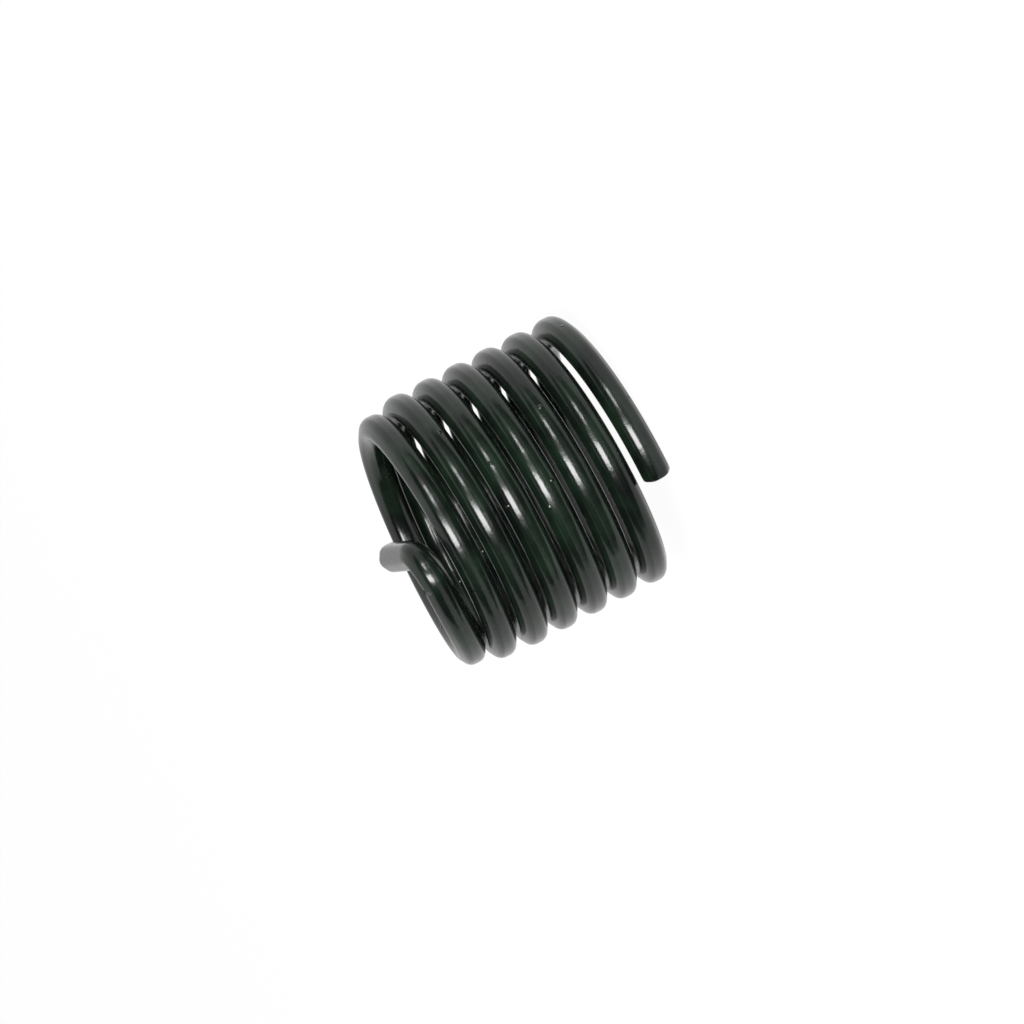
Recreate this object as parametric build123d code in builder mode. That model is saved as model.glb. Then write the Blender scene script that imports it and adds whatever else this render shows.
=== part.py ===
from build123d import *
import os
from math import asin, cos, pi, radians, sin, tan

# Helical thread insert: one length of rolled wire, wound into a right-hand coil.
#
# The wire has a flattened diamond section, so the coil is a screw thread inside and out. One end is
# bent across the bore as the driving tang, with a notch where it snaps off. The other end is cut.
# Units are millimetres. +Z runs along the coil's axis towards the tang. The origin is on the axis,
# level with the lowest wire. The tang points along -X from its root on the +X side.

# Thread
pitch = 1.25
flank_angle = 30.0  # between a flank and a radial line, half of the 60 degree thread angle

# Coil, as wound and before fitting
outer_diameter = 10.6  # over the crests of the full coils
turns = 7.0  # from the cut end to the start of the tang's bend
lead_turns = 1.75  # turns next to the tang that are wound smaller, to start in the tapped hole
lead_drop = 0.41  # how much smaller in radius the wire is at the tang
open_turns = 1.1  # turns at the cut end that stand a little apart
open_rise = 0.07  # how far they stand apart

# Wire section
wire_height = 1.08  # radial
wire_width = 1.09  # axial
corner_break = 0.17  # along each side of a corner
end_rounding = 0.12  # at both ends of the wire

# Tang
bend_radius = 1.0  # of the wire's centre line
lift_turns = 0.2  # the end of the coil over which the wire rises clear of the turn below
tang_lift = 0.25  # how far it rises there, on top of the pitch
tang_slope = 0.1  # rise for each millimetre along the bend and the tang
tang_length = 3.3  # from the end of the bend
notch_depth = 0.22
notch_angle = 60.0

# The centre line is a smooth curve through this many points in each turn, and this many in the bend.
points_per_turn = 12
bend_points = 8

mean_radius = (outer_diameter - wire_height) / 2
tang_radius = mean_radius - lead_drop


def ease(x):
    """Smooth step from 0 to 1."""
    x = min(max(x, 0), 1)
    return x * x * (3 - 2 * x)


def coil_height(turn):
    """Height of the centre line, with turns counted from the cut end."""
    opened = open_rise * ease(turn / open_turns)
    lifted = tang_lift * ease(1 - (turns - turn) / lift_turns)
    return wire_width / 2 + pitch * turn + opened + lifted


# The coil stops short of the X axis by the angle that the tang's bend takes up.
bend_start = asin(bend_radius / (tang_radius - bend_radius))


def coil_point(turn):
    radius = mean_radius - lead_drop * ease(1 - (turns - turn) / lead_turns)
    angle = 2 * pi * (turn - turns) - bend_start
    return Vector(radius * cos(angle), radius * sin(angle), coil_height(turn))


def bend_point(share):
    """Centre of the wire in the bend, from 0 at the end of the coil to 1 at the root of the tang."""
    angle = share * (pi / 2 + bend_start) - bend_start
    centre_x = (tang_radius - bend_radius) * cos(bend_start)
    rise = tang_slope * bend_radius * (angle + bend_start)
    return Vector(
        centre_x + bend_radius * cos(angle),
        bend_radius * (sin(angle) - 1),
        coil_height(turns) + rise,
    )


samples = round(turns * points_per_turn)

with BuildLine() as centre_line:
    coil_points = [coil_point(turns * i / samples) for i in range(samples + 1)]
    bent_points = [bend_point(i / bend_points) for i in range(1, bend_points + 1)]
    coil = Spline(coil_points + bent_points)
    tang = Line(coil @ 1, coil @ 1 + (coil % 1) * tang_length)

# The section is a hexagon with broken corners. Its X runs outward and its Y along the coil's axis.
side_corner = wire_width / 2 + corner_break * sin(radians(flank_angle))
crest_corner = side_corner - wire_height / 2 * tan(radians(flank_angle))
cut_end = coil @ 0
tang_tip = tang @ 1
outward = Vector(cut_end.X, cut_end.Y, 0)
section_plane = Plane(origin=cut_end, x_dir=outward, z_dir=outward.cross(Vector(0, 0, 1)))

with BuildPart() as insert_coil:
    with BuildSketch(section_plane) as wire_section:
        with BuildLine():
            Polyline(
                (0, side_corner),
                (wire_height / 2, crest_corner),
                (wire_height / 2, -crest_corner),
                (0, -side_corner),
                (-wire_height / 2, -crest_corner),
                (-wire_height / 2, crest_corner),
                close=True,
            )
        make_face()
        chamfer(wire_section.vertices(), length=corner_break)
    sweep(path=centre_line.wire(), is_frenet=True)

    # Both ends of the wire are cut square and dressed.
    wire_ends = [insert_coil.faces().sort_by_distance(point)[0] for point in (cut_end, tang_tip)]
    fillet([edge for face in wire_ends for edge in face.edges()], radius=end_rounding)

    # The notch crosses the wire where the bend begins, on the side that faces out of the coil.
    notch_at = coil_point(turns)
    radial = Vector(notch_at.X, notch_at.Y, 0)
    notch_half_width = wire_width * tan(radians(notch_angle / 2))
    with BuildSketch(Plane(origin=notch_at, x_dir=(-radial.Y, radial.X, 0), z_dir=radial)):
        with Locations((0, wire_width / 2 - notch_depth)):
            Polygon(
                (0, 0),
                (notch_half_width, wire_width),
                (-notch_half_width, wire_width),
                align=None,
            )
    extrude(amount=wire_height, both=True, mode=Mode.SUBTRACT)

insert_coil.part.label = "insert_coil"
os.makedirs("parts", exist_ok=True)
export_step(insert_coil.part, "parts/insert_coil.step")
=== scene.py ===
from math import asin, cos, pi, radians, sin, tan

import bpy
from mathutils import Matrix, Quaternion, Vector


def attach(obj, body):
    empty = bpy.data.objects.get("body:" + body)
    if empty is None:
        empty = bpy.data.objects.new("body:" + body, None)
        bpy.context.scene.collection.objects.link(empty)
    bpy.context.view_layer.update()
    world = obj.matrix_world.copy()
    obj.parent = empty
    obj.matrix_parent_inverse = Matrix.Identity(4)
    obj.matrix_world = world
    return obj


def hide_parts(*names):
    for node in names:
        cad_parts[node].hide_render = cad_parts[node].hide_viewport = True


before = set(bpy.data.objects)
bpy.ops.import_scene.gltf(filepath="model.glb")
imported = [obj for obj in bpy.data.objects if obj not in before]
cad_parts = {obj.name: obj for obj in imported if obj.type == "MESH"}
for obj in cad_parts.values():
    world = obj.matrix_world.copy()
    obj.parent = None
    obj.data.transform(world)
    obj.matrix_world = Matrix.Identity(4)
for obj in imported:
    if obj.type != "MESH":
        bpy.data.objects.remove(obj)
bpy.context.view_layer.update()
mm = 0.001

# ---- Coil and tang ----
# The whole insert is one length of stainless spring wire, rolled to a flattened diamond and wound into a
# right-hand coil. The mesh carries that section along the wire's centre line, from the cut end up the coil,
# round the bend and along the tang. The notch, where the tang snaps off, is pressed in as the bend begins.
pitch = 1.25 * mm
outer_radius = 5.3 * mm
turns = 7.0
lead_turns = 1.75
lead_drop = 0.41 * mm
open_turns = 1.1
open_rise = 0.07 * mm
closed_from, closed_turns = 5.9, 0.7  # the last turn closes up against the one below
closed_drop = 0.13 * mm
wire_height = 1.08 * mm
wire_width = 1.09 * mm
corner_radius = 0.38 * mm
flank_angle = radians(30)
end_rounding = 0.12 * mm
bend_radius = 1.0 * mm
lift_turns = 0.2
tang_lift = 0.25 * mm
tang_slope = 0.1
tang_length = 3.3 * mm
notch_depth = 0.22 * mm
notch_half_angle = radians(30)

mean_radius = outer_radius - wire_height / 2
tang_radius = mean_radius - lead_drop
bend_start = asin(bend_radius / (tang_radius - bend_radius))


def ease(x):
    """Smooth step from 0 to 1."""
    x = min(max(x, 0), 1)
    return x * x * (3 - 2 * x)


def coil_point(turn):
    """Centre of the wire in the coil, with turns counted from the cut end."""
    radius = mean_radius - lead_drop * ease(1 - (turns - turn) / lead_turns)
    opened = open_rise * ease(turn / open_turns)
    closed = closed_drop * ease((turn - closed_from) / closed_turns)
    lifted = tang_lift * ease(1 - (turns - turn) / lift_turns) - closed
    angle = 2 * pi * (turn - turns) - bend_start
    height = wire_width / 2 + pitch * turn + opened + lifted
    return Vector((radius * cos(angle), radius * sin(angle), height))


def bend_point(length):
    """Centre of the wire in the bend, by its length from the end of the coil."""
    angle = length / bend_radius - bend_start
    centre_x = (tang_radius - bend_radius) * cos(bend_start)
    height = coil_point(turns).z + tang_slope * length
    return Vector((centre_x + bend_radius * cos(angle), bend_radius * (sin(angle) - 1), height))


turn_step = 1 / 120
coil_turns = [i * turn_step for i in range(round(turns / turn_step) + 1)]
bend_length = bend_radius * (pi / 2 + bend_start)
bend_steps = 30
bend_lengths = [bend_length * i / bend_steps for i in range(1, bend_steps + 1)]
tang_heading = Vector((-1, 0, tang_slope)).normalized()
tang_steps = 16
centres = [coil_point(turn) for turn in coil_turns] + [bend_point(length) for length in bend_lengths]
tang_root = centres[-1]
centres += [tang_root + tang_heading * tang_length * i / tang_steps for i in range(1, tang_steps + 1)]

# The section's corners, with outward as x and up the coil's axis as y. Each corner is rounded by an arc, and
# a point a little way along each flat beside it keeps the flats flat in the shading.
side_corner = wire_width / 2 + corner_radius * (1 / cos(flank_angle) - 1)
crest_corner = side_corner - wire_height / 2 * tan(flank_angle)
corners = [
    (0, side_corner), (-wire_height / 2, crest_corner), (-wire_height / 2, -crest_corner),
    (0, -side_corner), (wire_height / 2, -crest_corner), (wire_height / 2, crest_corner),
]
arc_steps = 8
flat_margin = 0.04 * mm
profile, profile_normals = [], []
for i, corner in enumerate(corners):
    middle = radians(90 + 60 * i)
    arc_centre = Vector(corner) - corner_radius / cos(flank_angle) * Vector((cos(middle), sin(middle)))
    for step in range(-1, arc_steps + 2):
        on_arc = min(max(step, 0), arc_steps)
        angle = middle + radians(60 * on_arc / arc_steps - 30)
        normal = Vector((cos(angle), sin(angle)))
        beside = flat_margin * (step - on_arc) * Vector((-sin(angle), cos(angle)))
        profile.append(arc_centre + corner_radius * normal + beside)
        profile_normals.append(normal)

# Sections along the wire as centre, heading and how far the surface is set in, which rounds the edge at each
# end of the wire.
ahead = centres[1:] + [2 * centres[-1] - centres[-2]]
behind = [2 * centres[0] - centres[1]] + centres[:-1]
headings = [(a - b).normalized() for a, b in zip(ahead, behind)]
rounding = [radians(angle) for angle in (0, 22, 44, 66)]
cut_sections, tip_sections = [], []
for angle in rounding:
    advance, inset = end_rounding * (1 - cos(angle)), end_rounding * (1 - sin(angle))
    cut_sections.append((centres[0] + advance * headings[0], headings[0], inset))
    tip_sections.insert(0, (centres[-1] - advance * headings[-1], headings[-1], inset))
between = [
    (centre, heading, 0.0) for centre, heading in zip(centres, headings)
    if min((centre - centres[0]).length, (centre - centres[-1]).length) > end_rounding
]
sections = cut_sections + between + tip_sections

around = len(profile)
wire_vertices, wire_lengths = [], []
for i, (centre, heading, inset) in enumerate(sections):
    wire_lengths.append(wire_lengths[-1] + (centre - sections[i - 1][0]).length if i else 0.0)
    outward = Vector((heading.y, -heading.x, 0)).normalized()
    up = outward.cross(heading)
    for point, normal in zip(profile, profile_normals):
        x, y = point - inset * normal
        wire_vertices.append(centre + x * outward + y * up)
wire_faces = [
    (i * around + j, i * around + (j + 1) % around, (i + 1) * around + (j + 1) % around, (i + 1) * around + j)
    for i in range(len(sections) - 1) for j in range(around)
]
wire_faces += [tuple(reversed(range(around))), tuple(range(len(wire_vertices) - around, len(wire_vertices)))]

wire_mesh = bpy.data.meshes.new("wire_blank")
wire_mesh.from_pydata(wire_vertices, [], wire_faces)
lengthwise = wire_mesh.uv_layers.new(name="lengthwise")
for face in wire_mesh.polygons:
    crosses_seam = face.index % around == around - 1 and len(face.vertices) == 4
    for loop in face.loop_indices:
        ring, place = divmod(wire_mesh.loops[loop].vertex_index, around)
        if crosses_seam and place == 0:
            place = around
        lengthwise.data[loop].uv = (wire_lengths[ring] / mm, place / around)
wire = bpy.data.objects.new("insert_wire", wire_mesh)
bpy.context.scene.collection.objects.link(wire)

# The notch is a V cut straight across the top of the wire. Its flanks run on above it, to cut cleanly.
notch_at = len(coil_turns) - 1
notch_outward = Vector((headings[notch_at].y, -headings[notch_at].x, 0)).normalized()
notch_up = notch_outward.cross(headings[notch_at])
notch_height = 2 * notch_depth
notch_bottom = centres[notch_at] + (wire_width / 2 - notch_depth) * notch_up
notch_rim = notch_height * (notch_up + tan(notch_half_angle) * headings[notch_at])
notch_far_rim = notch_height * (notch_up - tan(notch_half_angle) * headings[notch_at])
notch_vertices = [
    notch_bottom + side * wire_height * notch_outward + rim
    for side in (-1, 1) for rim in (Vector(), notch_rim, notch_far_rim)
]
notch_mesh = bpy.data.meshes.new("notch_punch")
notch_mesh.from_pydata(notch_vertices, [], [(0, 2, 1), (3, 4, 5), (1, 4, 3, 0), (2, 5, 4, 1), (0, 3, 5, 2)])
notch_punch = bpy.data.objects.new("notch_punch", notch_mesh)
bpy.context.scene.collection.objects.link(notch_punch)
pressed = wire.modifiers.new("notch", "BOOLEAN")
pressed.operation, pressed.solver, pressed.object = "DIFFERENCE", "EXACT", notch_punch
wire.data = bpy.data.meshes.new_from_object(wire.evaluated_get(bpy.context.evaluated_depsgraph_get()))
wire.data.name = "insert_wire"
wire.modifiers.clear()
bpy.data.objects.remove(notch_punch)
bpy.data.meshes.remove(notch_mesh)
bpy.data.meshes.remove(wire_mesh)
wire.data.shade_smooth()
wire.data.set_sharp_from_angle(angle=radians(35))


def linear(hex_colour):
    """sRGB hex to the linear RGBA that a shader takes."""
    parts = [int(hex_colour[i:i + 2], 16) / 255 for i in (1, 3, 5)]
    return [p / 12.92 if p <= 0.04045 else ((p + 0.055) / 1.055) ** 2.4 for p in parts] + [1]


def add_node(tree, kind, settings=None, values=None, links=None):
    """A node with its settings, its inputs' values and the sockets that feed its inputs."""
    node = tree.nodes.new(kind)
    for name, value in (settings or {}).items():
        setattr(node, name, value)
    for name, value in (values or {}).items():
        node.inputs[name].default_value = value
    for name, source in (links or {}).items():
        tree.links.new(source, node.inputs[name])
    return node


# Stainless wire under a dark green lubricant film, dried to a gloss: nearly black face on, greyer where it is
# seen at a slant, with sharp white streaks along each turn. The film hides the metal, so it is a non-metal of
# IOR 1.45, as typical of oils, and roughness 0.14 to 0.26 along the fine lines that rolling left.
film = bpy.data.materials.new("dark_green_lubricant_film")
film.use_nodes = True
tree = film.node_tree
tree.nodes.clear()
along_wire = add_node(tree, "ShaderNodeUVMap", {"uv_map": "lengthwise"})
# The real rolling lines are finer than this. Drawn 1.25 mm long and 0.06 mm apart, they can still be seen.
lines_per_mm, lines_around = 0.8, 60
line_grid = add_node(tree, "ShaderNodeMapping", values={"Scale": (lines_per_mm, lines_around, 1)},
                     links={"Vector": along_wire.outputs["UV"]})
rolling_lines = add_node(tree, "ShaderNodeTexNoise", values={"Scale": 1.0, "Detail": 3.0},
                         links={"Vector": line_grid.outputs["Vector"]})
place = add_node(tree, "ShaderNodeTexCoord")
# The film is thicker and greener in patches about 1.4 mm across, and slightly uneven every 0.25 mm.
patches_per_metre = 700.0
thickness = add_node(tree, "ShaderNodeTexNoise", values={"Scale": patches_per_metre, "Detail": 2.0},
                     links={"Vector": place.outputs["Object"]})
colour = add_node(tree, "ShaderNodeValToRGB", links={"Fac": thickness.outputs["Fac"]})
colour.color_ramp.elements[0].position = 0.35
colour.color_ramp.elements[0].color = linear("#050806")
colour.color_ramp.elements[1].position = 0.7
colour.color_ramp.elements[1].color = linear("#0c170f")
gloss = add_node(tree, "ShaderNodeMapRange", values={"To Min": 0.14, "To Max": 0.26},
                 links={"Value": rolling_lines.outputs["Fac"]})
mottle = add_node(tree, "ShaderNodeTexNoise", values={"Scale": 1 / (0.25 * mm), "Detail": 3.0},
                  links={"Vector": place.outputs["Object"]})
lines = add_node(tree, "ShaderNodeBump", values={"Strength": 0.3, "Distance": 0.002 * mm},
                 links={"Height": rolling_lines.outputs["Fac"]})
relief = add_node(tree, "ShaderNodeBump", values={"Strength": 1.0, "Distance": 0.006 * mm},
                  links={"Height": mottle.outputs["Fac"], "Normal": lines.outputs["Normal"]})
# Beads of lubricant about 0.2 mm across and some 3.5 mm apart catch the light as sparks. The mapping counts
# lengths along the wire in mm and places around it as a share of its 3.4 mm girth.
girth_mm, bead_spacing_mm = 3.4, 3.5
bead_grid = add_node(tree, "ShaderNodeMapping",
                     values={"Scale": (1 / bead_spacing_mm, girth_mm / bead_spacing_mm, 1)},
                     links={"Vector": along_wire.outputs["UV"]})
nearest_bead = add_node(tree, "ShaderNodeTexVoronoi", {"voronoi_dimensions": "2D"}, values={"Scale": 1.0},
                        links={"Vector": bead_grid.outputs["Vector"]})
bead = add_node(tree, "ShaderNodeMapRange", {"interpolation_type": "SMOOTHSTEP"},
                values={"From Min": 0.0, "From Max": 0.03, "To Min": 1.0, "To Max": 0.0},
                links={"Value": nearest_bead.outputs["Distance"]})
bead_gloss = add_node(tree, "ShaderNodeMapRange", values={"To Max": 0.05},
                      links={"Value": bead.outputs["Result"], "To Min": gloss.outputs["Result"]})
beads = add_node(tree, "ShaderNodeBump", values={"Strength": 1.0, "Distance": 0.04 * mm},
                 links={"Height": bead.outputs["Result"], "Normal": relief.outputs["Normal"]})
surface = add_node(tree, "ShaderNodeBsdfPrincipled", values={"IOR": 1.45}, links={
    "Base Color": colour.outputs["Color"], "Roughness": bead_gloss.outputs["Result"],
    "Normal": beads.outputs["Normal"]})
add_node(tree, "ShaderNodeOutputMaterial", links={"Surface": surface.outputs["BSDF"]})
wire.data.materials.append(film)
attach(wire, "root")
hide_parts("insert_coil")

# ---- Floor and white surroundings ----
# A plain sheet of matt white paper under the standing insert, in a white room. Most of the paper's white is
# its own to the eye and in the wire's gloss, and the rest keeps the insert's shadow.
floor_half_size = 3.0
square = ((-1, -1), (1, -1), (1, 1), (-1, 1))
floor_corners = [(x * floor_half_size, y * floor_half_size, 0) for x, y in square]
floor_mesh = bpy.data.meshes.new("floor")
floor_mesh.from_pydata(floor_corners, [], [(0, 1, 2, 3)])
floor = bpy.data.objects.new("floor", floor_mesh)
bpy.context.scene.collection.objects.link(floor)
# Matt paper, a non-metal without gloss, diffuse only and nearly white.
paper = bpy.data.materials.new("matt_white_paper")
paper.use_nodes = True
tree = paper.node_tree
tree.nodes.clear()
path = add_node(tree, "ShaderNodeLightPath")
camera_or_gloss = add_node(tree, "ShaderNodeMath", {"operation": "MAXIMUM"})
tree.links.new(path.outputs["Is Camera Ray"], camera_or_gloss.inputs[0])
tree.links.new(path.outputs["Is Glossy Ray"], camera_or_gloss.inputs[1])
seen_directly = add_node(tree, "ShaderNodeMath", {"operation": "MAXIMUM"})
tree.links.new(camera_or_gloss.outputs["Value"], seen_directly.inputs[0])
tree.links.new(path.outputs["Is Transmission Ray"], seen_directly.inputs[1])
white_share = add_node(tree, "ShaderNodeMapRange", values={"To Min": 0.0, "To Max": 0.95},
                       links={"Value": seen_directly.outputs["Value"]})
matt = add_node(tree, "ShaderNodeBsdfDiffuse", values={"Color": linear("#fafafa")})
white = add_node(tree, "ShaderNodeEmission", values={"Strength": 1.0})
mixed = add_node(tree, "ShaderNodeMixShader", links={"Fac": white_share.outputs["Result"]})
tree.links.new(matt.outputs["BSDF"], mixed.inputs[1])
tree.links.new(white.outputs["Emission"], mixed.inputs[2])
add_node(tree, "ShaderNodeOutputMaterial", links={"Surface": mixed.outputs["Shader"]})
floor_mesh.materials.append(paper)

room = bpy.data.worlds.new("white_room")
bpy.context.scene.world = room
room.use_nodes = True
tree = room.node_tree
tree.nodes.clear()
sky = add_node(tree, "ShaderNodeBackground", values={"Strength": 1.0})
add_node(tree, "ShaderNodeOutputWorld", links={"Surface": sky.outputs["Background"]})

# ---- Camera ----
# A long lens, 200 mm back from the coil's side and 8 degrees above its middle, so that the turns stay nearly
# parallel. It is rolled so that the tang end points down and to the left.
view_azimuth = radians(4.93)
view_elevation = radians(8.0)
view_roll = radians(-117.46)
view_distance = 200 * mm
view_aim = Vector((-0.011, -0.545, 5.269)) * mm
towards_camera = Vector((
    cos(view_azimuth) * cos(view_elevation), sin(view_azimuth) * cos(view_elevation), sin(view_elevation)))
camera_data = bpy.data.cameras.new("camera")
camera_data.sensor_width = 36
camera_data.lens = 189.78
camera_data.clip_start = 1 * mm
camera = bpy.data.objects.new("camera", camera_data)
bpy.context.scene.collection.objects.link(camera)
level_view = towards_camera.to_track_quat("Z", "Y")
camera.rotation_mode = "QUATERNION"
camera.rotation_quaternion = level_view @ Quaternion((0, 0, 1), view_roll)
camera.location = view_aim + view_distance * towards_camera
bpy.context.scene.camera = camera

# ---- Lamps and dark cards ----
# A tall softbox beside the camera draws the long streak on each turn, and a pair of small lamps further round
# draws the double spots. Black cards beside, above and below keep the rest of each turn dark in the gloss.
insert_middle = Vector((0, 0, 5 * mm))
lamp_distance = 0.35
spot_width, spot_height, spot_radiance = 0.03, 0.14, 22
card_distance = 0.45


def face_insert(thing, azimuth, elevation, distance):
    """Places a lamp or a card at an azimuth, an elevation and a distance, facing the insert."""
    direction = Vector((cos(azimuth) * cos(elevation), sin(azimuth) * cos(elevation), sin(elevation)))
    thing.location = insert_middle + distance * direction
    thing.rotation_mode = "QUATERNION"
    thing.rotation_quaternion = direction.to_track_quat("Z", "Y")
    bpy.context.scene.collection.objects.link(thing)


def add_lamp(name, width, height, radiance):
    """A rectangular lamp of one radiance, so its size alone changes no brightness in the gloss."""
    data = bpy.data.lights.new(name, "AREA")
    data.shape = "RECTANGLE"
    data.size, data.size_y = width, height
    data.energy = radiance * width * height * pi
    lamp = bpy.data.objects.new(name, data)
    lamp.visible_camera = False
    return lamp


face_insert(add_lamp("softbox", 0.13, 0.38, 24), view_azimuth - radians(6), radians(16), lamp_distance)
for name, beside in (("spot_low", 28), ("spot_high", 38)):
    spot = add_lamp(name, spot_width, spot_height, spot_radiance)
    face_insert(spot, view_azimuth + radians(beside), radians(8), lamp_distance)

# Black velvet, a non-metal without gloss that gives back hardly any light.
velvet = bpy.data.materials.new("black_velvet")
velvet.use_nodes = True
tree = velvet.node_tree
tree.nodes.clear()
nap = add_node(tree, "ShaderNodeBsdfDiffuse", values={"Color": linear("#101010")})
add_node(tree, "ShaderNodeOutputMaterial", links={"Surface": nap.outputs["BSDF"]})


def add_card(name, width, height):
    """A black card that is there for the gloss alone."""
    mesh = bpy.data.meshes.new(name)
    corners = [(x * width / 2, y * height / 2, 0) for x, y in square]
    mesh.from_pydata(corners, [], [(0, 1, 2, 3)])
    mesh.materials.append(velvet)
    card = bpy.data.objects.new(name, mesh)
    card.visible_camera = card.visible_diffuse = card.visible_shadow = False
    return card


face_insert(add_card("side_card", 0.68, 0.9), view_azimuth - radians(52), radians(20), card_distance)
top_card = add_card("top_card", 0.45, 1.2)
bpy.context.scene.collection.objects.link(top_card)
top_card.location = Vector((0.27, 0.15, 0.33))
# The floor card starts 7 mm in front of the axis and lies just above the paper.
floor_card_width = 0.07
floor_card = add_card("floor_card", floor_card_width, 0.10)
bpy.context.scene.collection.objects.link(floor_card)
floor_card.location = Vector((7 * mm + floor_card_width / 2, 0.02, 0.3 * mm))

# ---- Colour ----
# Plain sRGB, so that white stays white.
bpy.context.scene.view_settings.view_transform = "Standard"
